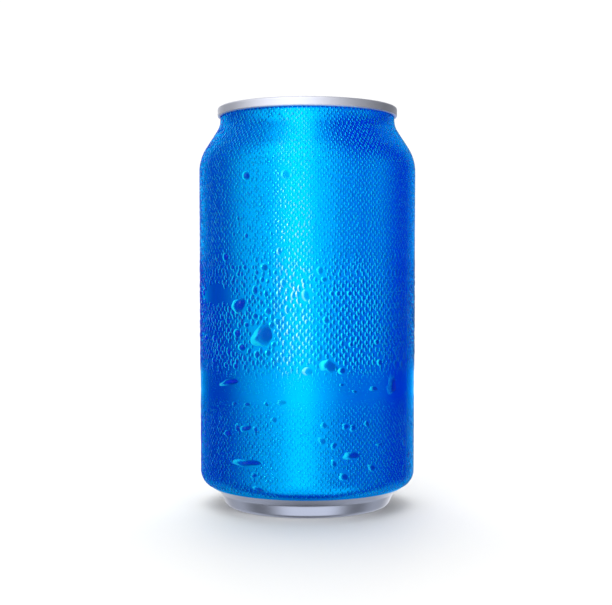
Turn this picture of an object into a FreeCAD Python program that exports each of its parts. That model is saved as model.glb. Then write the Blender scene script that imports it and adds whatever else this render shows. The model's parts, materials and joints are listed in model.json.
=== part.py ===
import FreeCAD, Part
import math
import os

# A shut, full two-piece drink can: a drawn aluminium body, an end seamed onto its neck, and a
# stay-on tab riveted to the end. Millimetres, +Z up. The origin is the middle of the circle that
# the can stands on, and the pour opening is on the -Y side. Heights are above the floor.

# Overall
can_height = 122.2
body_radius = 33.1

# Foot: a rolled nose, a sloping foot wall, and the chime cone up to the body wall
chime_inset = 6.0             # body wall to the fold between chime and foot wall
fold_height = 4.24
fold_round = 2.0
foot_wall_angle = 23.3        # from vertical
nose_outer_round = 2.0
nose_inner_round = 1.2
stand_width = 0.8             # flat ring that touches the floor
chime_angle = 55.7            # from vertical
heel_round = 5.0

# Base dome
dome_height = 10.4
dome_radius = 46.0
dome_edge_round = 1.6

# Shoulder and neck
neck_radius = 26.6
neck_run = 2.9                # seam down to where the neck would meet the shoulder cone
neck_round = 7.3
shoulder_angle = 33.0         # from vertical
shoulder_round = 13.4

# Double seam
seam_height = 2.75
seam_overhang = 0.9           # outside of the neck to outside of the seam
seam_thickness = 1.35
seam_top_round = 0.62
seam_foot_round = 0.45

# End: chuck wall, countersink and centre panel, all one pressed sheet
sheet = 0.25
panel_drop = 4.3              # seam top to panel
countersink_drop = 6.35       # seam top to the countersink's floor
countersink_width = 1.1
countersink_round = 0.5
chuck_wall_angle = 17.9       # from vertical
panel_wall_angle = 11.0       # from vertical
panel_round = 0.7

# Pressed floor of the panel, tear panel and finger well
floor_depth = 0.35
floor_round = 0.3
floor_margin = 1.1            # panel's edge to the pressed floor
floor_nose_radius = 12.3
floor_heel_radius = 11.0
floor_heel_y = 8.0
tear_half_width = 10.8
tear_margin = 1.9             # pressed floor's end to the score
tear_start = 3.6              # rivet's middle to the near side of the score
score_width = 0.3
score_depth = 0.1
score_hinge_width = 4.0       # stretch left unscored, which the tear panel hangs on
bead_inset = 2.0              # score to the tear panel's bead
bead_width = 1.1
bead_height = 0.3
bead_round = 0.2
bead_start_gap = 0.7          # tab's nose to the bead
well_half_width = 7.8
well_length = 8.4
well_depth = 0.9
well_round = 0.7

# Tab
tab_nose_radius = 7.5
tab_nose_overlap = 4.9        # how far the nose reaches over the tear panel
tab_heel_y = 16.5
tab_heel_half_width = 7.9
tab_heel_round = 4.5
tab_lift = 0.2                # pressed floor to the underside of the tab's curl
curl_width = 1.6
curl_height = 1.45
curl_round = 0.6
web_rise = 0.25               # underside of the curl to underside of the web
web_thickness = 0.3
hole_half_width = 5.3
hole_length = 5.8
hole_heel_gap = 2.0           # tab's heel to the finger hole
island_radius = 4.4
island_slot_width = 0.7
island_slot_sweep = 250.0     # degrees; the island stays joined on the nose side

# Rivet, drawn up out of the end
rivet_radius = 1.6
rivet_hole_clearance = 0.1
boss_radius = 3.3
rivet_head_radius = 3.1
rivet_head_height = 0.45
rivet_head_round = 0.25
dimple_radius = 1.1
dimple_depth = 0.2

# Levels and radii that follow from the sizes above
seam_bottom = can_height - seam_height
panel_top = can_height - panel_drop
countersink_floor = can_height - countersink_drop
floor_top = panel_top - floor_depth
tab_bottom = floor_top + tab_lift
web_bottom = tab_bottom + web_rise
web_top = web_bottom + web_thickness

seam_outer = neck_radius + seam_overhang
seam_inner = seam_outer - seam_thickness
countersink_outer = seam_inner - countersink_drop * math.tan(math.radians(chuck_wall_angle))
countersink_inner = countersink_outer - countersink_width
panel_rise = panel_top - countersink_floor
panel_radius = countersink_inner - panel_rise * math.tan(math.radians(panel_wall_angle))

floor_nose_y = -(panel_radius - floor_margin - floor_nose_radius)
tear_end = panel_radius - floor_margin - tear_margin
tear_radius = (tear_end - tear_start) / 2
tear_y = -(tear_start + tear_radius)
nose_tip = tear_start + tab_nose_overlap

UP = FreeCAD.Vector(0, 0, 1)
AXIS = FreeCAD.Vector(0, 0, 0)


def section_point(radius, height):
    return FreeCAD.Vector(radius, 0, height)


def rounded(points):
    """Edges of a run through (radius, height, round) points, with each round a tangent arc.

    Where two rounds would meet on a short run, both are reduced in step until they fit.
    """
    spots = [section_point(radius, height) for radius, height, _ in points]
    runs = [after - before for before, after in zip(spots, spots[1:])]
    half_turns = [0.0] + [a.getAngle(b) / 2 for a, b in zip(runs, runs[1:])] + [0.0]
    wanted = [point[2] * math.tan(half) for point, half in zip(points, half_turns)]
    share = [min(1.0, 0.95 * run.Length / max(wanted[i] + wanted[i + 1], 1e-6))
             for i, run in enumerate(runs)]
    edges = []
    start = spots[0]
    for i in range(1, len(spots) - 1):
        reach = wanted[i] * min(share[i - 1], share[i])
        into = FreeCAD.Vector(runs[i - 1]).normalize()
        out = FreeCAD.Vector(runs[i]).normalize()
        leave = spots[i] - into * reach
        edges.append(Part.LineSegment(start, leave).toShape())
        start = leave
        if reach > 0:
            arc_radius = reach / math.tan(half_turns[i])
            inward = (out - into).normalize()
            middle = spots[i] + inward * (arc_radius / math.cos(half_turns[i]) - arc_radius)
            start = spots[i] + out * reach
            edges.append(Part.Arc(leave, middle, start).toShape())
    edges.append(Part.LineSegment(start, spots[-1]).toShape())
    return edges


def turned(edges):
    """Solid of revolution of a section whose edges start and end on the axis."""
    first = edges[0].Vertexes[0].Point
    last = edges[-1].Vertexes[-1].Point
    wire = Part.Wire(edges + [Part.LineSegment(last, first).toShape()])
    return Part.Face(wire).revolve(AXIS, UP, 360)


def far_face(points, thickness):
    """Corners of a bent sheet's far face, to the right of the run through its near face."""
    corners = []
    for before, here, after in zip(points, points[1:], points[2:]):
        into = math.atan2(here[1] - before[1], here[0] - before[0])
        out = math.atan2(after[1] - here[1], after[0] - here[0])
        reach = thickness / math.cos((out - into) / 2)
        side = (into + out) / 2 - math.pi / 2
        corners.append((here[0] + reach * math.cos(side),
                        here[1] + reach * math.sin(side),
                        here[2] + math.copysign(thickness, out - into)))
    return corners


def belt(circles, grow=0.0):
    """Flat face inside a belt that runs anticlockwise round (x, y, radius) circles."""
    wheels = [(FreeCAD.Vector(x, y, 0), radius + grow) for x, y, radius in circles]
    pairs = list(zip(wheels, wheels[1:] + wheels[:1]))
    bearings = []
    for (here, here_radius), (there, there_radius) in pairs:
        step = there - here
        lean = math.asin((here_radius - there_radius) / step.Length)
        bearings.append(math.atan2(step.y, step.x) - math.pi / 2 + lean)

    def on_wheel(wheel, bearing):
        return wheel[0] + FreeCAD.Vector(math.cos(bearing), math.sin(bearing), 0) * wheel[1]

    edges = []
    for i, (here, there) in enumerate(pairs):
        bearing = bearings[i]
        sweep = (bearings[(i + 1) % len(bearings)] - bearing) % (2 * math.pi)
        meets = on_wheel(there, bearing)
        edges.append(Part.LineSegment(on_wheel(here, bearing), meets).toShape())
        middle = on_wheel(there, bearing + sweep / 2)
        edges.append(Part.Arc(meets, middle, on_wheel(there, bearing + sweep)).toShape())
    return Part.Face(Part.Wire(edges))


def slab(circles, bottom, top, grow=0.0):
    """Upright slab between two heights, inside a belt round the circles."""
    face = belt(circles, grow)
    face.translate(UP * bottom)
    return face.extrude(UP * (top - bottom))


def level_edges(shape, height):
    """Edges that lie flat at a height."""
    return [edge for edge in shape.Edges
            if abs(edge.BoundBox.ZMin - height) < 0.001 and abs(edge.BoundBox.ZMax - height) < 0.001]


def pressing(circles, bottom, top, edge_round, grow=0.0):
    """Slab whose lower edge is rounded, as the face of a pressing tool is."""
    block = slab(circles, bottom, top, grow)
    return block.makeFillet(edge_round, level_edges(block, bottom))


def disc(radius, bottom, top):
    return Part.makeCylinder(radius, top - bottom, UP * bottom, UP)


def side_by_side(half_width, y, radius):
    """Two equal circles whose belt is a slot of this half width, centred at y."""
    return [(-(half_width - radius), y, radius), (half_width - radius, y, radius)]


# Outlines seen from above, as the circles that a belt runs round
floor_outline = [(0, floor_nose_y, floor_nose_radius), (0, floor_heel_y, floor_heel_radius)]
tear_outline = side_by_side(tear_half_width, tear_y, tear_radius)
bead_far = tear_end - bead_inset
bead_near = nose_tip + bead_start_gap
bead_outline = side_by_side(tear_half_width - bead_inset - bead_width,
                            -(bead_far + bead_near) / 2, (bead_far - bead_near) / 2)
hole_y = tab_heel_y - hole_heel_gap - hole_length / 2
hole_outline = side_by_side(hole_half_width, hole_y, hole_length / 2)
well_outline = side_by_side(well_half_width, hole_y, well_length / 2)
heel_corner = tab_heel_half_width - tab_heel_round
heel_corner_y = tab_heel_y - tab_heel_round
tab_outline = [(0, tab_nose_radius - nose_tip, tab_nose_radius),
               (heel_corner, heel_corner_y, tab_heel_round),
               (-heel_corner, heel_corner_y, tab_heel_round)]

# Near face of the end's sheet, from the middle out to the top of the seam
end_face = [(0, panel_top, 0),
            (panel_radius, panel_top, panel_round),
            (countersink_inner, countersink_floor, countersink_round),
            (countersink_outer, countersink_floor, countersink_round),
            (seam_inner, can_height, seam_top_round)]

# Far face of the same sheet, from the seam back to the middle: it rests on the body
chuck_tan = math.tan(math.radians(chuck_wall_angle))
chuck_meets_seam = (seam_inner - seam_height * chuck_tan
                    + sheet / math.cos(math.radians(chuck_wall_angle)))
end_back = ([(chuck_meets_seam, seam_bottom, 0)]
            + far_face(end_face, sheet)[::-1]
            + [(0, panel_top - sheet, 0)])


def pressed_floors(grow, lower):
    """The panel's pressed floor and finger well, as tools grown and lowered by the sheet."""
    top = panel_top - lower
    well_floor = floor_top - well_depth
    return [pressing(floor_outline, floor_top - lower, top + 1, floor_round + grow, grow),
            pressing(well_outline, well_floor - lower, top + 1, well_round + grow, grow)]


def base_dome():
    """Edges of the domed base, from the axis to where the nose's inner leg starts."""
    fold_radius = body_radius - chime_inset
    stand_outer = (fold_radius - fold_height * math.tan(math.radians(foot_wall_angle))
                   - nose_outer_round * math.tan(math.radians(90 - foot_wall_angle) / 2))
    leg_radius = stand_outer - stand_width - nose_inner_round
    centre_height = dome_height - dome_radius
    edge_radius = leg_radius - dome_edge_round
    edge_height = math.sqrt((dome_radius - dome_edge_round) ** 2 - edge_radius ** 2)
    polar = math.atan2(edge_radius, edge_height)

    def on_dome(angle):
        return section_point(dome_radius * math.sin(angle),
                             centre_height + dome_radius * math.cos(angle))

    leg_top = section_point(leg_radius, centre_height + edge_height)
    edge_bearing = (math.pi / 2 - polar) / 2
    edge_middle = section_point(edge_radius + dome_edge_round * math.cos(edge_bearing),
                                leg_top.z + dome_edge_round * math.sin(edge_bearing))
    crown = Part.Arc(on_dome(0), on_dome(polar / 2), on_dome(polar)).toShape()
    edge = Part.Arc(on_dome(polar), edge_middle, leg_top).toShape()
    return [crown, edge], leg_top


def can_body():
    """Drawn body, filled up to the end because a shut can is solid."""
    dome_edges, leg_top = base_dome()
    fold_radius = body_radius - chime_inset
    nose_corner = fold_radius - fold_height * math.tan(math.radians(foot_wall_angle))
    heel_height = fold_height + chime_inset / math.tan(math.radians(chime_angle))
    neck_corner = seam_bottom - neck_run
    shoulder_drop = (body_radius - neck_radius) / math.tan(math.radians(shoulder_angle))
    outside = [(leg_top.x, leg_top.z, 0),
               (leg_top.x, 0, nose_inner_round),
               (nose_corner, 0, nose_outer_round),
               (fold_radius, fold_height, fold_round),
               (body_radius, heel_height, heel_round),
               (body_radius, neck_corner - shoulder_drop, shoulder_round),
               (neck_radius, neck_corner, neck_round),
               (neck_radius, seam_bottom, 0)]
    body = turned(dome_edges + rounded(outside + end_back))
    for tool in pressed_floors(sheet, sheet):
        body = body.cut(tool)
    return body


def score():
    """Groove round the tear panel, left out where the panel hangs on."""
    groove = slab(tear_outline, floor_top - score_depth, floor_top + 1, score_width / 2)
    groove = groove.cut(slab(tear_outline, floor_top - score_depth, floor_top + 1, -score_width / 2))
    hinge_corner = FreeCAD.Vector(-tear_half_width + tear_radius - score_hinge_width,
                                  -tear_start - 1, floor_top - 1)
    return groove.cut(Part.makeBox(score_hinge_width, 2, 3, hinge_corner))


def tear_bead():
    """Raised bead that stiffens the tear panel."""
    bead = slab(bead_outline, floor_top - sheet / 2, floor_top + bead_height, bead_width)
    bead = bead.cut(slab(bead_outline, floor_top - sheet / 2, floor_top + bead_height))
    return bead.makeFillet(bead_round, level_edges(bead, floor_top + bead_height))


def rivet():
    """Boss under the tab, shank through it and flattened head on top."""
    head = disc(rivet_head_radius, web_top, web_top + rivet_head_height)
    head = head.makeFillet(rivet_head_round, level_edges(head, web_top + rivet_head_height))
    head = head.cut(disc(dimple_radius, web_top + rivet_head_height - dimple_depth, can_height))
    boss = disc(boss_radius, floor_top - sheet / 2, web_bottom)
    shank = disc(rivet_radius, web_bottom, web_top)
    return boss.fuse([shank, head])


def lid():
    """End: seam, chuck wall, countersink, pressed panel, score, bead and rivet in one piece."""
    seam = [(seam_outer, can_height, seam_top_round),
            (seam_outer, seam_bottom, seam_foot_round)]
    end = turned(rounded(end_face + seam + end_back))
    under_sheet = Part.makeCylinder(panel_radius, panel_drop, UP * (panel_top - panel_drop), UP)
    for tool in pressed_floors(sheet, sheet):
        end = end.fuse(tool.common(under_sheet))
    for tool in pressed_floors(0, 0):
        end = end.cut(tool)
    end = end.cut(score())
    return end.fuse([tear_bead(), rivet()]).removeSplitter()


def tab():
    """Stay-on tab: curled rim, web with the rivet's island cut free, and finger hole."""
    curl = slab(tab_outline, tab_bottom, tab_bottom + curl_height)
    curl = curl.cut(slab(tab_outline, tab_bottom, tab_bottom + curl_height, -curl_width))
    curl_edges = level_edges(curl, tab_bottom) + level_edges(curl, tab_bottom + curl_height)
    curl = curl.makeFillet(curl_round, curl_edges)
    web = slab(tab_outline, web_bottom, web_top, -curl_width / 2)
    web = web.cut(disc(rivet_radius + rivet_hole_clearance, web_bottom, web_top))
    slot = Part.makeCylinder(island_radius + island_slot_width, web_thickness,
                             UP * web_bottom, UP, island_slot_sweep)
    slot = slot.cut(disc(island_radius, web_bottom, web_top))
    slot.rotate(AXIS, UP, 90 - island_slot_sweep / 2)
    web = web.cut(slot)
    return curl.fuse(web).cut(slab(hole_outline, web_bottom - 1, web_top + 1)).removeSplitter()


os.makedirs("parts", exist_ok=True)
for name, make in (("can_body", can_body), ("lid", lid), ("tab", tab)):
    shape = make()
    solids = shape.Solids
    print(name, "solids", len(solids), "valid", shape.isValid(),
          "volume", round(shape.Volume, 2), "box", shape.BoundBox)
    solids[0].exportStep("parts/" + name + ".step")
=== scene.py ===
"""A shut drink can in blue metallic lacquer, wet with condensation, on a plain pale floor.

Works in metres, +Z up. The can stands on the floor at the origin and its front faces -Y.
Bearings run round the can from the front, positive towards +X.
"""

import json
import math
import random
from collections import namedtuple

import bmesh
import bpy
import numpy as np
from bpy.props import FloatProperty, FloatVectorProperty, IntProperty, PointerProperty
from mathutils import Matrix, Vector

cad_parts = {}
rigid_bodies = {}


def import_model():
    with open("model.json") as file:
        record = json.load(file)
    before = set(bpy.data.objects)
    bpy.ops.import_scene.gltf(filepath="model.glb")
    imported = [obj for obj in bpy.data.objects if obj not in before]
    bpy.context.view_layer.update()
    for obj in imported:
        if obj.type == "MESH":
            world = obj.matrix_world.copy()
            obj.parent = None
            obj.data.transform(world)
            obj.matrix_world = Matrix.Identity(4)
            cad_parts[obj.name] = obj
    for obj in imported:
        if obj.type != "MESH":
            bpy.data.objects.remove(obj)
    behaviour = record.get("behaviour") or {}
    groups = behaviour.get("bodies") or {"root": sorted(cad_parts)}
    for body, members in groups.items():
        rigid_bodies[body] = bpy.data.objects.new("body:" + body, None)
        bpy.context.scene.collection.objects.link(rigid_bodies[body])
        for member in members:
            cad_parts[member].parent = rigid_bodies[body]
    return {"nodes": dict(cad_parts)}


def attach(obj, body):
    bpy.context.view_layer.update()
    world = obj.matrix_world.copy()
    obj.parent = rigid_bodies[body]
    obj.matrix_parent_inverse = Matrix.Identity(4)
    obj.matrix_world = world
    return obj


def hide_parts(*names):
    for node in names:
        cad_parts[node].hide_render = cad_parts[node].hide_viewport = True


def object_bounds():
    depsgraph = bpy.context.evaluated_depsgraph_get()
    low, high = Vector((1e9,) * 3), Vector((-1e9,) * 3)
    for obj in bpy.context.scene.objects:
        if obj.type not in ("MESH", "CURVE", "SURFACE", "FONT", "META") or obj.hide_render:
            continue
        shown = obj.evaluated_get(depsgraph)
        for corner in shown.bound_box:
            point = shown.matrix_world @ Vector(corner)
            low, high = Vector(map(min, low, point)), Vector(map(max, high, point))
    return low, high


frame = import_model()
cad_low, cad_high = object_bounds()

bl_info = {
    "name": "Chilled drink can",
    "version": (1, 0, 0),
    "blender": (4, 5, 0),
    "location": "3D View > Sidebar > Drink can",
    "description": "Builds a blue lacquered drink can with condensation on it, and its studio",
    "category": "Object",
}

MM = 0.001
FRONT_AND_BACK = (0, 180)

# A drop's painted light and painted shade run from its lit edge (0) to its shaded edge (1)
LIT_SIDE = 0.42             # where the lit side ends
PAINTED_LIT_TO_SHADE = (0.36, 0.48)  # where the tint turns from the painted light to the painted shade colour
SHADE_CENTRE = 0.35         # place of the deepest painted shade, from a drop's middle to its right edge
SINK = 0.1                  # how deep a drop's flat base lies in the wall, as a share of its height
# How much a drop covers the lacquer along that scale
BEAD_COVER = ((0.0, 0.5), (0.06, 1.0), (0.3, 0.95), (0.42, 0.3), (0.52, 0.4), (0.66, 0.9),
              (1.0, 0.95))

# Bands of beads: lowest height in millimetres, sides and rings of a bead, and its height as a
# share of its half width, and how much its painted lit side is a crescent and not a plain half
Band = namedtuple("Band", "piece lowest sides rings rise crescent")
BANDS = (
    Band("beads_lower", 7.5, 6, 2, 0.26, 0.0),
    Band("beads_middle", 42, 8, 3, 0.36, 0.35),
    Band("beads_upper", 76, 6, 2, 0.26, 0.0),
    Band("beads_neck", 96.5, 6, 2, 0.26, 0.0),
)
BEAD_HEIGHTS = (7.5, 119.2)
BEAD_FILL = 0.3             # half width of a bead, as a share of the pitch
BEAD_STRETCH = (1.35, 1.7)  # length of a bead over its width
BEAD_ASIDE = 0.1            # how far a bead is shaken along its row, as a share of the pitch
BEAD_ASTRAY = 0.25          # how far it is shaken out of its row, as a share of the row gap
BEAD_LEAN = 0.1             # spread of the lean of beads, in radians
BEAD_DIMMEST = 0.75         # the weakest painted light and shade of a bead beside the strongest
COUNT_STEP = 0.07           # change in the count of a row that is worth breaking the grid for
CLEARANCE = 0.3             # millimetres between a large drop and the beads round it

# How the beads change up the can: (height, pitch in millimetres, gap between rows as a share
# of it), and (height, strength of the painted light, strength of the painted shade)
BEAD_PITCH = ((6, 1.4, 0.62), (33, 1.42, 0.62), (42, 1.65, 0.62), (47, 1.95, 0.6), (64, 1.95, 0.6),
              (72, 1.7, 0.6), (80, 1.48, 0.6), (90, 1.42, 0.6), (119, 1.38, 0.6))
BEAD_SHINE = ((8, 0.3, 1.0), (12, 0.3, 1.0), (28, 0.3, 1.0), (33.5, 0.2, 0.4), (36, 0, 0),
              (42, 0.2, 0.2), (46, 1.0, 1.0), (68, 1.0, 1.0), (78, 0.7, 0.75), (100, 0.6, 0.75),
              (119, 0.65, 1.0))
# How they change round it: (bearing, strength of the painted light, strength of the painted shade)
BEAD_SIDES = ((-180, 0.5, 0.8), (-75, 1.3, 1.0), (-55, 1.35, 1.0), (-25, 1.1, 0.65), (-12, 1.0, 0.25),
              (2, 1.0, 0.25), (14, 0.8, 0.6), (35, 0.8, 0.8), (46, 0.25, 1.0), (56, 0.06, 1.0),
              (90, 0.1, 0.9), (180, 0.5, 0.8))
# How much they differ in size round it: (bearing, spread)
BEAD_SPREAD = ((-180, 0.3), (-30, 0.3), (0, 0.2), (20, 0.12), (180, 0.3))

# Painted glint, white on the drops' lit sides: (bearing, share) and (height, share)
PAINTED_GLINT = ((-17, 0), (-11, 0.8), (-2, 0.8), (4, 0))
PAINTED_GLINT_HEIGHTS = ((30, 0), (50, 0.6), (62, 1), (82, 1), (92, 0.6), (104, 0.3))

# Brightness of the studio by bearing from the front in degrees: its floor, its walls low down
# and high up, and its ceiling
STUDIO_FLOOR = ((-180, 0.18), (-116, 0.27), (-98, 0.04), (-68, 0.06), (-42, 0.46), (-12, 0.46),
                (12, 0.46), (48, 0.48), (74, 0.04), (98, 0.04), (116, 0.27), (180, 0.18))
STUDIO_LOW = (
    (-180, 0.6), (-158, 0.5), (-145, 0.2), (-135, 0.07), (-120, 0.02), (-105, 0.015),
    (-90, 0.03), (-75, 0.1), (-60, 0.23), (-45, 0.32), (-30, 0.38), (-18, 0.6), (-8, 0.71),
    (2, 0.66), (12, 0.42), (25, 0.26), (38, 0.13), (55, 0.1), (72, 0.1), (85, 0.06),
    (98, 0.01), (112, 0.005), (125, 0.01), (136, 0.08), (148, 0.38), (160, 0.8), (180, 0.8))
STUDIO_HIGH = (
    (-180, 0.8), (-158, 0.95), (-145, 0.52), (-135, 0.17), (-120, 0.06), (-105, 0.06),
    (-90, 0.12), (-75, 0.36), (-60, 0.46), (-45, 0.48), (-30, 0.68), (-18, 0.95), (-8, 0.94),
    (2, 0.8), (12, 0.58), (25, 0.48), (38, 0.25), (55, 0.15), (72, 0.22), (85, 0.2),
    (98, 0.09), (112, 0.025), (125, 0.025), (136, 0.08), (148, 0.3), (160, 0.6), (180, 0.8))
STUDIO_CEILING = (
    (-180, 0.5), (-150, 0.5), (-125, 0.12), (-95, 0.16), (-65, 0.42), (-40, 0.78), (-18, 1.0),
    (0, 0.9), (15, 0.6), (30, 0.36), (50, 0.12), (75, 0.03), (115, 0.02), (150, 0.35), (180, 0.5))
WHITE = (1, 1, 1)
FLOOR_TINT = (0.9, 0.97, 1.12)
STUDIO_DARK = 0.02  # brightness straight down
# Its levels upwards: brightness, tint, and the part of a direction that points up between
# which the level takes over from the one below
STUDIO_LEVELS = (
    (STUDIO_FLOOR, FLOOR_TINT, (-0.98, -0.87)),
    (STUDIO_LOW, WHITE, (-0.6, -0.24)),
    (STUDIO_HIGH, WHITE, (-0.12, 0.05)),
    (STUDIO_CEILING, WHITE, (0.2, 0.6)),
)
BACKDROP = 1.05  # brightness behind the can, as the camera sees it

# Lamps beside the overhead one: strength, angular size, bearing and elevation in degrees, the
# pieces they light ("" for all), and whether those mirror them
Lamp = namedtuple("Lamp", "name energy spread bearing elevation only mirrored")
LAMPS = (
    Lamp("right_fill", 2.9, 20, 50, 4, "", False),
    Lamp("left_fill", 0.7, 20, -55, 4, "", False),
    Lamp("side_of_drops", 4.5, 40, -108, 10, "drops", False),
    Lamp("spark_on_drops", 0.7, 8, -64, 8, "drops", True),
    Lamp("end_of_can", 0.5, 90, -48, 28, "end", True),
)

# Drops that stand out: (bearing, height, width, length) in degrees and millimetres
ROUND_DROPS = (
    (-32, 99.5, 2.7, 2.6), (-11, 99.5, 2.6, 2.8), (-37, 87.5, 1.1, 1.7), (-40, 83, 1.1, 1.4),
    (-32, 82.5, 1.4, 1.7), (-18, 83, 0.9, 1.4), (55, 90.5, 1.3, 0.9), (-46, 76.5, 2.5, 2.6),
    (-41, 73.5, 1.5, 1.7), (-36, 73.5, 1.1, 1.4), (-33, 73.5, 1.4, 1.7), (-28, 73.5, 1, 1.4),
    (-22, 73.5, 2.5, 2.3), (-26, 72, 1.3, 1.7), (-33, 70.5, 1, 1.7), (-37, 71.5, 1.4, 1.4),
    (-23, 70, 1.5, 2), (-20, 69.5, 1.2, 1.7), (-16, 72, 1.2, 1.7), (-27, 67, 1.9, 2.9),
    (-21, 66, 1.5, 2.3), (-12, 69, 1.7, 2.6), (-14, 78, 1.5, 2.3), (-70, 66, 2, 2.4),
    (6, 72.5, 2, 2.5), (8, 70, 2, 1.7), (4, 70, 1.1, 1.7), (-2, 69.5, 1.1, 1.7),
    (-4, 67.5, 1.1, 2), (-1, 65.5, 2.2, 3.4), (-7, 65.5, 1.3, 2.6), (12, 66, 1.4, 1.7),
    (15, 66, 1.5, 1.7), (21, 66, 1.5, 1.7), (9, 58.5, 2, 2.3), (-56, 52.5, 2.1, 2.1),
    (-66, 52.5, 2.2, 1.8), (-38, 54.5, 2.6, 2.6), (-52, 50, 1.9, 2.1), (-44, 49, 1.6, 2.9),
    (-35, 50.5, 2.8, 2.3), (-57, 46, 2, 1.8), (-46, 45, 1.7, 1.7), (-39, 45, 1.9, 2),
    (-26, 48.5, 1.9, 2.6), (-20, 49, 1.8, 2.3), (-17, 51.5, 1.5, 2), (22, 51.5, 1.5, 1.7),
    (37, 52, 2, 1.7), (39, 46, 2.2, 2), (51, 45.5, 2, 1.8), (57, 45, 1.8, 2.1),
    (0, 44, 3.1, 2.5), (17, 44, 2.4, 2), (-27, 59.5, 1.9, 2), (-20, 61, 2.1, 2.3),
    (-15, 58, 2.1, 2.3), (-18, 57, 1.8, 2.3), (-10, 61.5, 1.4, 2.5), (-32, 57, 1.7, 1.7),
)
RAGGED_DROPS = (
    (-37, 62.5, 5.6, 4), (-23, 54, 7, 6.3), (10, 45.5, 4.3, 4.2), (-44, 40, 7, 2),
    (48, 39, 4.6, 5), (-40, 34, 2, 0.9), (-32, 34, 2.4, 1.1), (-21, 34.5, 1.5, 1.1),
    (-13, 35, 3.2, 1.5), (17, 40, 1.2, 1.1), (24, 38, 1.6, 0.9), (35, 38.5, 3.5, 1.2),
    (63, 36, 1.6, 1.2), (-33, 27, 4.4, 1.7), (-33, 17, 9, 2.3), (-45, 25, 3.6, 1.7),
    (-38, 27, 1.8, 2.3), (-27, 27, 1.6, 2), (-17, 30, 1.8, 2), (-28, 13.5, 2, 1.7),
    (-26, 9.8, 3.8, 1.1), (8, 28.5, 1.7, 2.3), (19, 28, 2.4, 1.7), (23, 27.5, 1.9, 2),
    (31, 28.5, 2, 1.7), (7, 24, 2.3, 2.3), (13, 22.5, 2, 2), (22, 19.5, 4.6, 2.6),
    (13, 17.5, 1.7, 2.3), (18, 13.5, 2.4, 2.6), (34, 15.5, 2.8, 2), (60, 21.5, 2, 2.4),
    (60, 13.5, 2, 2.7), (39, 22, 2.6, 0.9), (66, 17, 1.8, 2.4),
)
# Where the wall carries no beads
CLEAR_PATCHES = ((-57, 65.5, 13, 5.5), (127, 65.5, 13, 5.5))

DROP_RISE = 0.3      # height of a large drop, as a share of its half width
DROP_LEAN = 0.12     # spread of the lean of large drops, in radians
DROP_CRESCENT = 0.7  # how much its lit side is a crescent and not a plain half
# Strength of its painted light: past a bearing in degrees (painted shadow), below a height in
# millimetres, and elsewhere
SHADOW_BEARING, SHADOW_LIT = 45, 0.15
PUDDLE_HEIGHT, PUDDLE_LIT = 42, 0.5
DROP_LIT = 0.85
# Pieces of large drops: sides and rings of a drop, how uneven its outline is, and the drops
LARGE_DROPS = (
    ("drops_round", 20, 6, 0.06, ROUND_DROPS),
    ("drops_ragged", 28, 8, 0.35, RAGGED_DROPS),
)

DOME_STEPS = 12  # straight lines along the base dome's arc
MERGE_DISTANCE = 0.001 * MM


def linear(hex_colour):
    """Linear red, green and blue of an sRGB hex colour."""
    channels = [int(hex_colour[i:i + 2], 16) / 255 for i in (0, 2, 4)]
    return tuple(c / 12.92 if c <= 0.04045 else ((c + 0.055) / 1.055) ** 2.4 for c in channels)


def length(name, description, default_mm):
    return FloatProperty(name=name, description=description, default=default_mm * MM,
                         min=0.0, precision=5, unit="LENGTH")


def angle(name, description, default_degrees):
    return FloatProperty(name=name, description=description,
                         default=math.radians(default_degrees), subtype="ANGLE")


def share(name, description, default):
    return FloatProperty(name=name, description=description, default=default, min=0.0, max=1.0,
                         subtype="FACTOR")


def colour(name, description, hex_colour):
    return FloatVectorProperty(name=name, description=description, default=linear(hex_colour),
                               size=3, min=0.0, max=1.0, subtype="COLOR")


class CanWallSettings(bpy.types.PropertyGroup):
    """Sizes of the drawn body and the colours of its lacquer"""

    wall_radius: FloatProperty(
        name="Wall radius", description="Outside of the straight wall",
        default=cad_high.x, min=0.0, precision=5, unit="LENGTH")
    chime_inset: length("Chime inset", "Wall to the fold between chime and foot", 6.0)
    fold_height: length("Fold height", "Floor to the fold between chime and foot", 4.24)
    fold_round: length("Fold round", "Round of that fold", 2.0)
    foot_wall_angle: angle("Foot wall angle", "Lean of the foot wall from vertical", 23.3)
    nose_outer_round: length("Outer nose round", "Outside round of the rolled foot", 2.0)
    nose_inner_round: length("Inner nose round", "Inside round of the rolled foot", 1.2)
    stand_width: length("Stand width", "Flat ring that touches the floor", 0.8)
    chime_angle: angle("Chime angle", "Lean of the chime cone from vertical", 55.7)
    heel_round: length("Heel round", "Round between chime and wall", 5.0)
    dome_height: length("Dome height", "Floor to the middle of the base dome", 10.4)
    dome_radius: length("Dome radius", "Radius of the base dome's sphere", 46.0)
    dome_edge_round: length("Dome edge round", "Round between dome and foot", 1.6)
    neck_radius: length("Neck radius", "Outside of the neck under the seam", 26.6)
    neck_run: length("Neck run", "Straight neck under the seam", 2.9)
    neck_round: length("Neck round", "Round between neck and shoulder", 7.3)
    shoulder_angle: angle("Shoulder angle", "Lean of the shoulder from vertical", 33.0)
    shoulder_round: length("Shoulder round", "Round between shoulder and wall", 13.4)
    seam_height: length("Seam height", "Height of the double seam", 2.75)
    sheet: length("Sheet", "Thickness of the drawn sheet", 0.25)
    fill_depth: length("Fill depth", "Rim to the level that closes the body inside", 9.0)
    coat_edge: length("Lacquer edge", "Floor to the lower edge of the lacquer", 6.3)
    turns: IntProperty(name="Turns", description="Faces round the can", default=384, min=24)
    flake: colour("Flake", "Tint of the light that the metal flake mirrors", "00F2FF")
    flake_edge: colour("Flake edge", "Tint of what the flake mirrors at a glance", "59E7FF")
    pigment: colour("Pigment", "Colour that the lacquer scatters", "000EDC")
    flake_share: share("Flake share", "Share of the lacquer's light that comes off the flake", 0.52)


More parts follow.
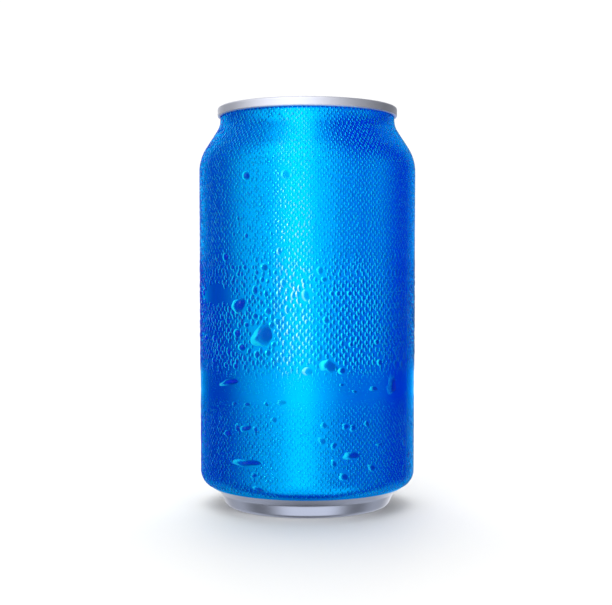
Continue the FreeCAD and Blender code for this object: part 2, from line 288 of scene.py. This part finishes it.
class CanEndSettings(bpy.types.PropertyGroup):
    """Finish of the bare metal"""

    metal: colour("Aluminium", "Colour of bare rolled aluminium", "E6E8F3")
    tab_metal: colour("Tab aluminium", "Colour of the harder tab alloy", "DFE1E8")
    line_spacing: length("Line spacing", "Distance between turned lines on the rim", 0.18)


class DropletSettings(bpy.types.PropertyGroup):
    """Sizes of the condensation and the colours of its painted light, painted glint and painted shade"""

    seed: IntProperty(name="Seed", description="Start of the random draws", default=7)
    # Colours of painted light, painted glint and painted shade, laid on each drop's sides
    painted_lit_side: colour("Painted lit side", "Painted light: colour laid on the lit side of a drop", "14D8FF")
    painted_glint: colour("Painted glint", "Painted glint: white laid on a drop's lit side where the glint tables put it", "F4FFFF")
    painted_shade_side: colour("Painted shade side", "Painted shade: colour laid on the side of a drop that is in its own shade",
                      "001E98")


class StageSettings(bpy.types.PropertyGroup):
    """Camera, floor and lights"""

    camera_distance: length("Camera distance", "Camera to the can's axis", 369.2)
    camera_height: length("Camera height", "Camera above the floor", 71.47)
    camera_tilt: angle("Camera tilt", "How far the camera looks down", 3.6)
    lens: FloatProperty(name="Lens", description="Focal length in millimetres", default=69.9)
    shift_x: FloatProperty(name="Shift X", description="Sideways lens shift", default=-0.0022)
    shift_y: FloatProperty(name="Shift Y", description="Upward lens shift", default=0.0762)
    floor_radius: length("Floor radius", "Radius of the floor", 900.0)
    floor_white: colour("Floor", "Colour of the floor", "E0DFDC")
    glow: FloatProperty(name="Glow", description="Brightness of the studio walls", default=2.0)
    overhead: FloatProperty(name="Overhead", description="Strength of the overhead light",
                            default=2.5)


def add_node(tree, kind, inputs=None, **settings):
    """Adds a node, sets its properties, and sets or links its inputs by name or number."""
    node = tree.nodes.new(kind)
    for name, value in settings.items():
        setattr(node, name, value)
    for socket, value in (inputs or {}).items():
        if isinstance(value, bpy.types.NodeSocket):
            tree.links.new(value, node.inputs[socket])
        else:
            node.inputs[socket].default_value = value
    return node


def new_material(name):
    """A material with only an output node, its tree and that node."""
    material = bpy.data.materials.new(name)
    material.use_nodes = True
    tree = material.node_tree
    tree.nodes.clear()
    return material, tree, add_node(tree, "ShaderNodeOutputMaterial")


def opaque(rgb):
    return (*rgb, 1.0)


def set_stops(ramp, stops, tint=WHITE):
    """Gives a colour ramp stops of (position, brightness), grey or tinted."""
    for _ in stops[2:]:
        ramp.elements.new(0.5)
    for element, (position, bright) in zip(ramp.elements, stops):
        element.position = position
        element.color = (*(bright * c for c in tint), 1)


def rounded(corners, step=math.radians(6)):
    """(radius, height) points through (radius, height, round) corners, with each round an arc."""
    spots = [Vector(corner[:2]) for corner in corners]
    line = [spots[0]]
    for before, here, after, corner in zip(spots, spots[1:], spots[2:], corners[1:]):
        into = (here - before).normalized()
        out = (after - here).normalized()
        turn = out.angle(into)
        if corner[2] == 0 or turn < 1e-4:
            line.append(here)
            continue
        reach = corner[2] * math.tan(turn / 2)
        middle = here + (out - into).normalized() * (corner[2] / math.cos(turn / 2))
        start = here - into * reach
        count = max(2, math.ceil(turn / step))
        way = 1 if into.cross(out) > 0 else -1
        for i in range(count + 1):
            swing = way * turn * i / count
            arm = start - middle
            line.append(middle + Vector((arm.x * math.cos(swing) - arm.y * math.sin(swing),
                                         arm.x * math.sin(swing) + arm.y * math.cos(swing))))
    return line + [spots[-1]]


def outside_corners(can):
    """Corners of the body's outside from its foot to the seam, and the leg's radius."""
    fold_radius = can.wall_radius - can.chime_inset
    nose = fold_radius - can.fold_height * math.tan(can.foot_wall_angle)
    nose_reach = can.nose_outer_round * math.tan((math.pi / 2 - can.foot_wall_angle) / 2)
    leg = nose - nose_reach - can.stand_width - can.nose_inner_round
    heel = can.fold_height + can.chime_inset / math.tan(can.chime_angle)
    coat_radius = fold_radius + (can.coat_edge - can.fold_height) * math.tan(can.chime_angle)
    seam_bottom = cad_high.z - can.seam_height
    neck = seam_bottom - can.neck_run
    shoulder = neck - (can.wall_radius - can.neck_radius) / math.tan(can.shoulder_angle)
    corners = [(leg, 0, can.nose_inner_round),
               (nose, 0, can.nose_outer_round),
               (fold_radius, can.fold_height, can.fold_round),
               (coat_radius, can.coat_edge, 0),
               (can.wall_radius, heel, can.heel_round),
               (can.wall_radius, shoulder, can.shoulder_round),
               (can.neck_radius, neck, can.neck_round),
               (can.neck_radius, seam_bottom, 0)]
    return corners, leg


class WallPath:
    """The lacquered outside as a path, to place drops by bearing and distance along it."""

    def __init__(self, can):
        corners, _ = outside_corners(can)
        points = rounded(corners, math.radians(2))
        points = [p for p in points if p.y >= can.coat_edge - 1e-7 and p.x > can.neck_radius - 1e-7]
        self.radius = np.array([p.x for p in points])
        self.height = np.array([p.y for p in points])
        steps = np.hypot(np.diff(self.radius), np.diff(self.height))
        self.along = np.concatenate([[0.0], np.cumsum(steps)])
        self.slope = np.gradient(self.radius, self.along), np.gradient(self.height, self.along)

    def at_height(self, height):
        return np.interp(height, self.height, self.along)

    def places(self, bearing, along, lift):
        """Points at a lift above the wall."""
        radius = np.interp(along, self.along, self.radius)
        height = np.interp(along, self.along, self.height)
        rise_r = np.interp(along, self.along, self.slope[0])
        rise_z = np.interp(along, self.along, self.slope[1])
        reach = radius + lift * rise_z
        return np.stack([reach * np.sin(bearing), -reach * np.cos(bearing),
                         height - lift * rise_r], axis=-1)


def finished(piece):
    """Puts a piece in the scene on the can's one body."""
    bpy.context.scene.collection.objects.link(piece)
    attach(piece, "root")
    return piece


def lacquer(can):
    """Blue metallic lacquer, rolled on over drawn aluminium and baked: the flake mirrors the
    room in cyan, the pigment scatters a deep blue, and faint upright draw lines show through."""
    material, tree, output = new_material("blue_metallic_lacquer")
    place = add_node(tree, "ShaderNodeTexCoord")
    line_width, line_length = 0.45 * MM, 40 * MM  # wider than real draw lines, so that they show
    stretched = add_node(tree, "ShaderNodeMapping", {
        "Vector": place.outputs["Object"],
        "Scale": (1 / line_width, 1 / line_width, 1 / line_length)})
    lines = add_node(tree, "ShaderNodeTexNoise", {
        "Vector": stretched.outputs[0], "Scale": 1.0, "Detail": 2.0, "Roughness": 0.6})
    gloss = add_node(tree, "ShaderNodeMapRange", {
        "Value": lines.outputs[0], "To Min": 0.19, "To Max": 0.27})
    relief = add_node(tree, "ShaderNodeBump", {
        "Height": lines.outputs[0], "Strength": 0.03, "Distance": 0.02 * MM})
    flake = add_node(tree, "ShaderNodeBsdfPrincipled", {
        "Base Color": opaque(can.flake), "Metallic": 1.0, "Specular Tint": opaque(can.flake_edge),
        "Roughness": gloss.outputs[0], "Normal": relief.outputs[0]})
    pigment = add_node(tree, "ShaderNodeBsdfPrincipled", {
        "Base Color": opaque(can.pigment), "Roughness": 0.6, "Specular IOR Level": 0.0})
    mixed = add_node(tree, "ShaderNodeMixShader", {
        0: can.flake_share, 1: pigment.outputs[0], 2: flake.outputs[0]})
    tree.links.new(mixed.outputs[0], output.inputs[0])
    return material


def bare_aluminium(name, tint, line_spacing, roughness):
    """Bare rolled aluminium, pressed and turned: fine lines run round the can and give its
    satin shine a soft grain."""
    material, tree, output = new_material(name)
    grain = 0.06  # how much the lines change the roughness either way
    place = add_node(tree, "ShaderNodeTexCoord")
    parts = add_node(tree, "ShaderNodeSeparateXYZ", {0: place.outputs["Object"]})
    across = add_node(tree, "ShaderNodeVectorMath", {
        0: add_node(tree, "ShaderNodeCombineXYZ", {
            0: parts.outputs[0], 1: parts.outputs[1]}).outputs[0]}, operation="LENGTH")
    section = add_node(tree, "ShaderNodeCombineXYZ", {
        0: across.outputs["Value"], 1: parts.outputs[2]})
    lines = add_node(tree, "ShaderNodeTexNoise", {
        "Vector": section.outputs[0], "Scale": 1 / line_spacing, "Detail": 3.0})
    gloss = add_node(tree, "ShaderNodeMapRange", {
        "Value": lines.outputs[0], "To Min": roughness - grain, "To Max": roughness + grain})
    relief = add_node(tree, "ShaderNodeBump", {
        "Height": lines.outputs[0], "Strength": 0.1, "Distance": 0.02 * MM})
    metal = add_node(tree, "ShaderNodeBsdfPrincipled", {
        "Base Color": opaque(tint), "Metallic": 1.0,
        "Roughness": gloss.outputs[0], "Normal": relief.outputs[0]})
    tree.links.new(metal.outputs[0], output.inputs[0])
    return material


def water(drops):
    """Condensed water: a clear bead over the lacquer, with painted light on one side and painted shade
    on the other, which its attributes paint, painted white glints, and a skin that shines a little."""
    material, tree, output = new_material("condensed_water_painted_light_and_shade")
    side = add_node(tree, "ShaderNodeAttribute", attribute_name="side")
    strength = add_node(tree, "ShaderNodeAttribute", attribute_name="strength")
    # Painted shade: the side attribute turns each drop from its painted lit colour to its painted shade
    # colour
    shade = add_node(tree, "ShaderNodeMapRange", {
        "Value": side.outputs["Fac"], "From Min": PAINTED_LIT_TO_SHADE[0], "From Max": PAINTED_LIT_TO_SHADE[1]})
    # Painted glint: white laid on the lit side where the glint attribute says
    painted_glint = add_node(tree, "ShaderNodeAttribute", attribute_name="painted_glint")
    bright = add_node(tree, "ShaderNodeMix", {
        0: painted_glint.outputs["Fac"], 6: opaque(drops.painted_lit_side), 7: opaque(drops.painted_glint)},
        data_type="RGBA")
    tint = add_node(tree, "ShaderNodeMix", {
        0: shade.outputs[0], 6: bright.outputs[2], 7: opaque(drops.painted_shade_side)},
        data_type="RGBA")
    # How much of the lacquer the painted light and painted shade cover
    cover = add_node(tree, "ShaderNodeValToRGB", {0: side.outputs["Fac"]})
    set_stops(cover.color_ramp, BEAD_COVER)
    body = add_node(tree, "ShaderNodeMath", {
        0: cover.outputs[0], 1: strength.outputs["Fac"]}, operation="MULTIPLY")
    # The painted lit side is also half metal, so it mirrors the room; the painted shade side mirrors
    # nothing
    mirror = add_node(tree, "ShaderNodeMapRange", {
        "Value": shade.outputs[0], "To Min": 0.5, "To Max": 0.0})
    bead = add_node(tree, "ShaderNodeBsdfPrincipled", {
        "Base Color": tint.outputs[2], "Metallic": mirror.outputs[0], "Roughness": 0.16,
        "IOR": 1.33, "Specular IOR Level": 0.1, "Alpha": body.outputs[0]})
    tree.links.new(bead.outputs[0], output.inputs[0])
    return material


def dome(sides, rings):
    """Unit dome on a flat base, as arrays of points and faces: the pattern for a drop."""
    bead = bmesh.new()
    bmesh.ops.create_uvsphere(bead, u_segments=sides, v_segments=2 * rings, radius=1.0)
    bmesh.ops.bisect_plane(bead, geom=bead.verts[:] + bead.edges[:] + bead.faces[:],
                           dist=1e-5, plane_co=(0, 0, 0), plane_no=(0, 0, 1), clear_inner=True)
    rim = [edge for edge in bead.edges if edge.is_boundary]
    bmesh.ops.contextual_create(bead, geom=rim)
    bmesh.ops.triangulate(bead, faces=bead.faces[:])
    bmesh.ops.recalc_face_normals(bead, faces=bead.faces[:])
    bead.verts.ensure_lookup_table()
    points = np.array([v.co for v in bead.verts])
    faces = np.array([[v.index for v in face.verts] for face in bead.faces])
    bead.free()
    return points, faces


Drop = namedtuple("Drop", "bearing height wide long lean thick lit shaded ragged")


def drops_piece(name, path, pattern, drops, crescent, material, rng):
    """One mesh of many drops: each is the pattern laid on the wall at its place."""
    points, faces = pattern
    bearing, height, wide, long, lean, thick, lit, shaded, ragged = (
        column[:, None] for column in np.array(drops).T)
    u, v, w = points[:, 0], points[:, 1], points[:, 2]
    around = np.arctan2(v, u)
    outline = 1.0
    for waves in (2, 3, 5):
        phase = np.array([[rng.uniform(0, 2 * math.pi)] for _ in drops])
        outline = outline + ragged / waves * np.cos(waves * around + phase)
    right = wide * u * outline
    above = long * v * outline
    aside = right * np.cos(lean) - above * np.sin(lean)
    along = path.at_height(height) + right * np.sin(lean) + above * np.cos(lean)
    radius = np.interp(along, path.along, path.radius)
    spots = path.places(bearing + aside / radius, along, thick * (w - SINK))
    # Painted light and shade: every drop is lit on its left and shaded on its right, whatever the lamps
    # do
    side = (crescent * (1 - np.hypot(u - SHADE_CENTRE, v) / (1 + SHADE_CENTRE))
            + (1 - crescent) * (u + 1) / 2 + np.zeros_like(lit))
    strength = np.where(side < LIT_SIDE, lit, shaded)
    turned = (np.degrees(bearing) + 180) % 360 - 180
    # Painted glint: white on the lit side at the bearings and heights of the glint tables, at random
    # strength
    painted_glint = np.interp(turned, *zip(*PAINTED_GLINT)) * np.interp(height / MM, *zip(*PAINTED_GLINT_HEIGHTS))
    painted_glint = painted_glint * np.array([[rng.random()] for _ in drops]) + np.zeros_like(side)
    corners = faces[None] + np.arange(len(drops))[:, None, None] * len(points)
    mesh = bpy.data.meshes.new(name)
    mesh.from_pydata(spots.reshape(-1, 3), [], corners.reshape(-1, 3))
    for label, values in (("side", side), ("strength", strength), ("painted_glint", painted_glint)):
        attribute = mesh.attributes.new(label, "FLOAT", "POINT")
        attribute.data.foreach_set("value", values.ravel().astype(np.float32))
    mesh.polygons.foreach_set("use_smooth", [True] * len(mesh.polygons))
    mesh.materials.append(material)
    return finished(bpy.data.objects.new(name, mesh))


def along_table(table, spot, column=1):
    return float(np.interp(spot, [row[0] for row in table], [row[column] for row in table]))


def sides_at(bearing):
    """How strong the lit and the shaded side of a drop are at a bearing in degrees."""
    bearing = (bearing + 180) % 360 - 180
    return along_table(BEAD_SIDES, bearing, 1), along_table(BEAD_SIDES, bearing, 2)


def scatter(path, rng, taken_at):
    """Lists of beads, one for each band, on a staggered grid that is shaken out of line."""
    low, high = (path.at_height(h * MM) for h in BEAD_HEIGHTS)
    placed = [[] for _ in BANDS]
    along = low
    row = count = 0
    while along < high:
        level = np.interp(along, path.along, path.height) / MM
        pitch = along_table(BEAD_PITCH, level) * MM
        row_gap = pitch * along_table(BEAD_PITCH, level, 2)
        shine = along_table(BEAD_SHINE, level, 1), along_table(BEAD_SHINE, level, 2)
        kind = sum(level >= band.lowest for band in BANDS) - 1
        radius = np.interp(along, path.along, path.radius)
        wanted = int(2 * math.pi * radius / pitch)
        if abs(wanted - count) > COUNT_STEP * wanted:
            count = wanted  # held over many rows, so that each row stays half a bead from the last
        for i in range(count if shine[0] > 0.02 else 0):
            aside = i + 0.5 * (row % 2) + rng.uniform(-BEAD_ASIDE, BEAD_ASIDE)
            bearing = 360 * aside / count - 180
            spread = along_table(BEAD_SPREAD, bearing)
            spot = along + rng.uniform(-BEAD_ASTRAY, BEAD_ASTRAY) * row_gap
            height = float(np.interp(spot, path.along, path.height))
            wide = pitch * BEAD_FILL * rng.uniform(1 - 1.5 * spread, 1 + spread)
            stretch = rng.uniform(*BEAD_STRETCH)
            # Strength of this bead's painted light and painted shade, by bearing and height, at random
            lit, shaded = (round_it * up_it * rng.uniform(BEAD_DIMMEST, 1.0)
                           for round_it, up_it in zip(sides_at(bearing), shine))
            lean = rng.gauss(0, BEAD_LEAN)
            bearing = math.radians(bearing)
            if not taken_at(bearing, height):
                placed[kind].append(Drop(bearing, height, wide, wide * stretch, lean,
                                         wide * BANDS[kind].rise, lit, shaded, 0.0))
        along += row_gap
        row += 1
    return placed


class MESH_OT_can_wall(bpy.types.Operator):
    """Turns the drawn can body and coats it"""

    bl_idname = "mesh.can_wall_add"
    bl_label = "Can body"

    def execute(self, context):
        can = context.scene.can_wall
        corners, leg = outside_corners(can)
        centre = can.dome_height - can.dome_radius
        lean = math.asin(leg / can.dome_radius)
        leans = [lean * i / DOME_STEPS for i in range(DOME_STEPS)]
        dome_line = [(can.dome_radius * math.sin(turn), centre + can.dome_radius * math.cos(turn), 0)
                     for turn in leans]
        dome_edge = (leg, centre + can.dome_radius * math.cos(lean), can.dome_edge_round)
        inside = can.neck_radius - can.sheet
        level = cad_high.z - can.fill_depth
        line = rounded(dome_line + [dome_edge] + corners
                       + [(inside, corners[-1][1], 0), (inside, level, 0), (0, level, 0)])
        body = bmesh.new()
        verts = [body.verts.new((p.x, 0, p.y)) for p in line]
        edges = [body.edges.new(pair) for pair in zip(verts, verts[1:])]
        bmesh.ops.spin(body, geom=verts + edges, cent=(0, 0, 0), axis=(0, 0, 1), dvec=(0, 0, 0),
                       angle=2 * math.pi, steps=can.turns, use_merge=True)
        bmesh.ops.remove_doubles(body, verts=body.verts[:], dist=MERGE_DISTANCE)
        bmesh.ops.recalc_face_normals(body, faces=body.faces[:])
        for face in body.faces:
            middle = face.calc_center_median()
            in_base = middle.xy.length < leg and middle.z < 2 * can.dome_height
            face.material_index = 1 if middle.z < can.coat_edge or in_base else 0
            face.smooth = True
        mesh = bpy.data.meshes.new("can_wall")
        body.to_mesh(mesh)
        body.free()
        end = context.scene.can_end
        mesh.materials.append(lacquer(can))
        mesh.materials.append(bare_aluminium("drawn_aluminium", end.metal, end.line_spacing, 0.34))
        piece = finished(bpy.data.objects.new("can_wall", mesh))
        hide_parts("can_body")
        return {"FINISHED"}


class MATERIAL_OT_can_end(bpy.types.Operator):
    """Gives the pressed end and the tab their bare metal finish"""

    bl_idname = "material.can_end_finish"
    bl_label = "Can end and tab"

    def execute(self, context):
        end = context.scene.can_end
        finishes = {"lid": ("rolled_aluminium", end.metal, 0.58),
                    "tab": ("stamped_aluminium", end.tab_metal, 0.22)}
        for node, (name, tint, roughness) in finishes.items():
            material = bare_aluminium(name, tint, end.line_spacing, roughness)
            frame["nodes"][node].material_slots[0].material = material
        return {"FINISHED"}


def large_drops(rows, ragged, rng):
    """The listed drops on the front, and the same again on the back."""
    drops = []
    for turn in FRONT_AND_BACK:
        for bearing, height, width, tall in rows:
            # Strength of the drop's painted light: weaker in puddles, weakest in painted shadow past the
            # shadow bearing
            lit = PUDDLE_LIT if height < PUDDLE_HEIGHT else DROP_LIT
            if bearing > SHADOW_BEARING:
                lit = SHADOW_LIT
            drops.append(Drop(math.radians(bearing + turn), height * MM, width / 2 * MM,
                              tall / 2 * MM, rng.gauss(0, DROP_LEAN), width / 2 * DROP_RISE * MM,
                              lit, sides_at(bearing)[1], ragged))
    return drops


class MESH_OT_can_large_drops(bpy.types.Operator):
    """Lays the large round drops and the ragged puddles"""

    bl_idname = "mesh.can_large_drops_add"
    bl_label = "Large drops"

    def execute(self, context):
        drops = context.scene.can_drops
        path = WallPath(context.scene.can_wall)
        rng = random.Random(drops.seed)
        material = water(drops)
        for name, sides, rings, ragged, rows in LARGE_DROPS:
            drops_piece(name, path, dome(sides, rings), large_drops(rows, ragged, rng),
                        DROP_CRESCENT, material, rng)
        return {"FINISHED"}


class MESH_OT_can_beads(bpy.types.Operator):
    """Scatters the fine and medium beads of condensation"""

    bl_idname = "mesh.can_beads_add"
    bl_label = "Condensation beads"

    def execute(self, context):
        drops = context.scene.can_drops
        path = WallPath(context.scene.can_wall)
        rng = random.Random(drops.seed)
        material = water(drops)
        radius = context.scene.can_wall.wall_radius
        taken = []
        for bearing, height, width, tall in ROUND_DROPS + RAGGED_DROPS + CLEAR_PATCHES:
            for turn in FRONT_AND_BACK:
                taken.append((math.radians(bearing + turn), height * MM,
                              (width / 2 + CLEARANCE) * MM / radius, (tall / 2 + CLEARANCE) * MM))
        taken = np.array(taken)

        def taken_at(bearing, height):
            aside = (bearing - taken[:, 0] + math.pi) % (2 * math.pi) - math.pi
            return bool(np.any((aside / taken[:, 2]) ** 2
                               + ((height - taken[:, 1]) / taken[:, 3]) ** 2 < 1))

        for band, placed in zip(BANDS, scatter(path, rng, taken_at)):
            pattern = dome(band.sides, band.rings)
            drops_piece(band.piece, path, pattern, placed, band.crescent, material, rng)
        return {"FINISHED"}


class SCENE_OT_can_stage(bpy.types.Operator):
    """Sets up the floor, the lights and the camera"""

    bl_idname = "scene.can_stage_add"
    bl_label = "Stage"

    def execute(self, context):
        stage = context.scene.can_stage
        scene = context.scene
        scene.view_settings.view_transform = "Standard"
        scene.view_settings.look = "None"

        material, tree, output = new_material("matt_white_board")
        board = add_node(tree, "ShaderNodeBsdfPrincipled", {
            "Base Color": opaque(stage.floor_white), "Roughness": 0.6, "IOR": 1.25})
        tree.links.new(board.outputs[0], output.inputs[0])
        floor = bmesh.new()
        bmesh.ops.create_circle(floor, cap_ends=True, segments=96, radius=stage.floor_radius)
        mesh = bpy.data.meshes.new("floor")
        floor.to_mesh(mesh)
        floor.free()
        mesh.materials.append(material)
        ground = bpy.data.objects.new("floor", mesh)
        scene.collection.objects.link(ground)
        ground.visible_glossy = False

        self.light_room(scene, stage)
        groups = {"": (), "drops": [o for o in scene.objects if o.name.startswith(("beads_", "drops_"))],
                  "end": [frame["nodes"][node] for node in ("lid", "tab")]}
        overhead = Lamp("overhead", stage.overhead, 72, 0, 118, "", False)
        for lamp in (overhead, *LAMPS):
            self.shine(scene, lamp, groups[lamp.only])

        camera = bpy.data.cameras.new("camera")
        camera.lens = stage.lens
        camera.shift_x = stage.shift_x
        camera.shift_y = stage.shift_y
        camera.clip_start = 0.01
        viewer = bpy.data.objects.new("camera", camera)
        viewer.location = (0, -stage.camera_distance, stage.camera_height)
        viewer.rotation_euler = (math.pi / 2 - stage.camera_tilt, 0, 0)
        scene.collection.objects.link(viewer)
        scene.camera = viewer
        return {"FINISHED"}

    def shine(self, scene, lamp, only):
        """A soft far light, on all pieces or only on some."""
        sun = bpy.data.lights.new(lamp.name, "SUN")
        sun.energy = lamp.energy
        sun.angle = math.radians(lamp.spread)
        source = bpy.data.objects.new(lamp.name, sun)
        source.rotation_euler = (math.radians(90 - lamp.elevation), 0, math.radians(lamp.bearing))
        source.visible_glossy = lamp.mirrored
        scene.collection.objects.link(source)
        if only:
            lit = bpy.data.collections.new(lamp.name)
            for piece in only:
                lit.objects.link(piece)
            source.light_linking.receiver_collection = lit

    def light_room(self, scene, stage):
        """Soft studio walls: brightest behind the camera, dark at the sides, white behind."""
        world = bpy.data.worlds.new("studio")
        world.use_nodes = True
        scene.world = world
        tree = world.node_tree
        tree.nodes.clear()
        place = add_node(tree, "ShaderNodeTexCoord")
        parts = add_node(tree, "ShaderNodeSeparateXYZ", {0: place.outputs["Generated"]})
        front = add_node(tree, "ShaderNodeMath", {0: parts.outputs[1], 1: -1.0},
                         operation="MULTIPLY")
        bearing = add_node(tree, "ShaderNodeMath", {0: parts.outputs[0], 1: front.outputs[0]},
                           operation="ARCTAN2")
        turn = add_node(tree, "ShaderNodeMapRange", {
            "Value": bearing.outputs[0], "From Min": -math.pi, "From Max": math.pi})
        room = opaque([STUDIO_DARK] * 3)
        for stops, tint, heights in STUDIO_LEVELS:
            ramp = add_node(tree, "ShaderNodeValToRGB", {0: turn.outputs[0]})
            set_stops(ramp.color_ramp, [((degrees + 180) / 360, bright)
                                        for degrees, bright in stops], tint)
            level = add_node(tree, "ShaderNodeMapRange", {
                "Value": parts.outputs[2], "From Min": heights[0], "From Max": heights[1]})
            room = add_node(tree, "ShaderNodeMix", {
                0: level.outputs[0], 6: room, 7: ramp.outputs[0]},
                data_type="RGBA").outputs[2]
        walls = add_node(tree, "ShaderNodeBackground", {"Color": room, "Strength": stage.glow})
        backdrop = add_node(tree, "ShaderNodeBackground", {
            "Color": opaque(WHITE), "Strength": BACKDROP})
        seen = add_node(tree, "ShaderNodeLightPath")
        both = add_node(tree, "ShaderNodeMixShader", {
            0: seen.outputs["Is Camera Ray"], 1: walls.outputs[0], 2: backdrop.outputs[0]})
        add_node(tree, "ShaderNodeOutputWorld", {0: both.outputs[0]})


class VIEW3D_PT_drink_can(bpy.types.Panel):
    """Lists the parts of the can"""

    bl_label = "Drink can"
    bl_idname = "VIEW3D_PT_drink_can"
    bl_space_type = "VIEW_3D"
    bl_region_type = "UI"
    bl_category = "Drink can"

    def draw(self, context):
        for operator in OPERATORS:
            self.layout.operator(operator.bl_idname)


SETTINGS = {"can_wall": CanWallSettings, "can_end": CanEndSettings,
            "can_drops": DropletSettings, "can_stage": StageSettings}
OPERATORS = (MESH_OT_can_wall, MATERIAL_OT_can_end, MESH_OT_can_large_drops, MESH_OT_can_beads,
             SCENE_OT_can_stage)
CLASSES = (*SETTINGS.values(), *OPERATORS, VIEW3D_PT_drink_can)


def register():
    for one in CLASSES:
        bpy.utils.register_class(one)
    for name, group in SETTINGS.items():
        setattr(bpy.types.Scene, name, PointerProperty(type=group))


def unregister():
    for name in SETTINGS:
        delattr(bpy.types.Scene, name)
    for one in reversed(CLASSES):
        bpy.utils.unregister_class(one)


def main():
    register()
    bpy.ops.mesh.can_wall_add()
    bpy.ops.material.can_end_finish()
    bpy.ops.mesh.can_large_drops_add()
    bpy.ops.mesh.can_beads_add()
    bpy.ops.scene.can_stage_add()


if __name__ == "__main__":
    main()
